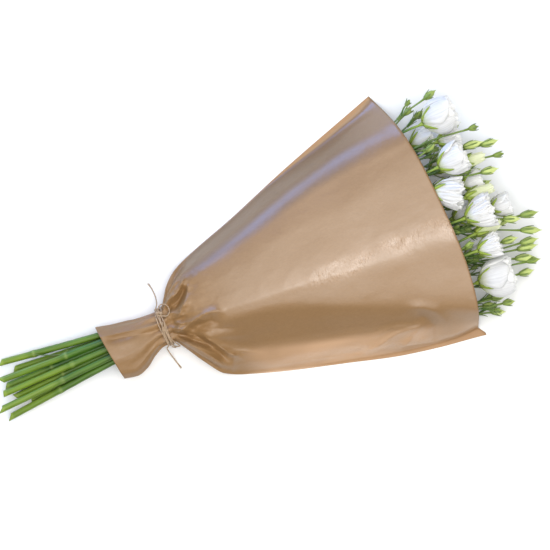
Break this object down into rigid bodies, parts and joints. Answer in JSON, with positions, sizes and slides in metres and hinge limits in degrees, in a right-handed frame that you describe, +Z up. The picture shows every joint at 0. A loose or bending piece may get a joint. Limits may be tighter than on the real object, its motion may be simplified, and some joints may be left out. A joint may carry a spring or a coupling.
{
  "type": "wrapped lisianthus bouquet",
  "caption": "Bouquet of white double lisianthus stems with green buds, rolled in a kraft paper cone, tied at the neck with jute twine and lying flat.",
  "frame": {"origin": "on the flat underside of the paper cone, 200 mm from the tie towards the blooms and on the line of the tie", "axes": "+X along the bouquet from the cut stem ends to the blooms, +Z up from the surface that it lies on"},
  "size_m": [0.7224, 0.335, 0.0992],
  "materials": {
    "kraft_paper": "satin",
    "jute": "matte",
    "green_stem": "satin",
    "white_petal": "matte",
    "cream_petal": "matte"
  },
  "bodies": {
    "root": {"kraft_wrap": "kraft_paper", "jute_twine": "jute", "stem_01": "green_stem", "stem_02": "green_stem", "stem_03": "green_stem", "stem_04": "green_stem", "stem_05": "green_stem", "stem_06": "green_stem", "stem_07": "green_stem", "stem_08": "green_stem", "stem_09": "green_stem", "stem_10": "green_stem", "bloom_01": "white_petal", "bloom_02": "white_petal", "bloom_03": "white_petal", "bloom_04": "white_petal", "bloom_05": "white_petal", "bloom_06": "cream_petal", "bloom_07": "white_petal", "bloom_08": "white_petal", "bloom_09": "cream_petal", "bloom_10": "white_petal", "bloom_11": "white_petal", "bloom_12": "white_petal", "bloom_13": "white_petal", "bloom_14": "white_petal", "bloom_15": "white_petal", "bloom_16": "cream_petal"}
  },
  "joints": []
}
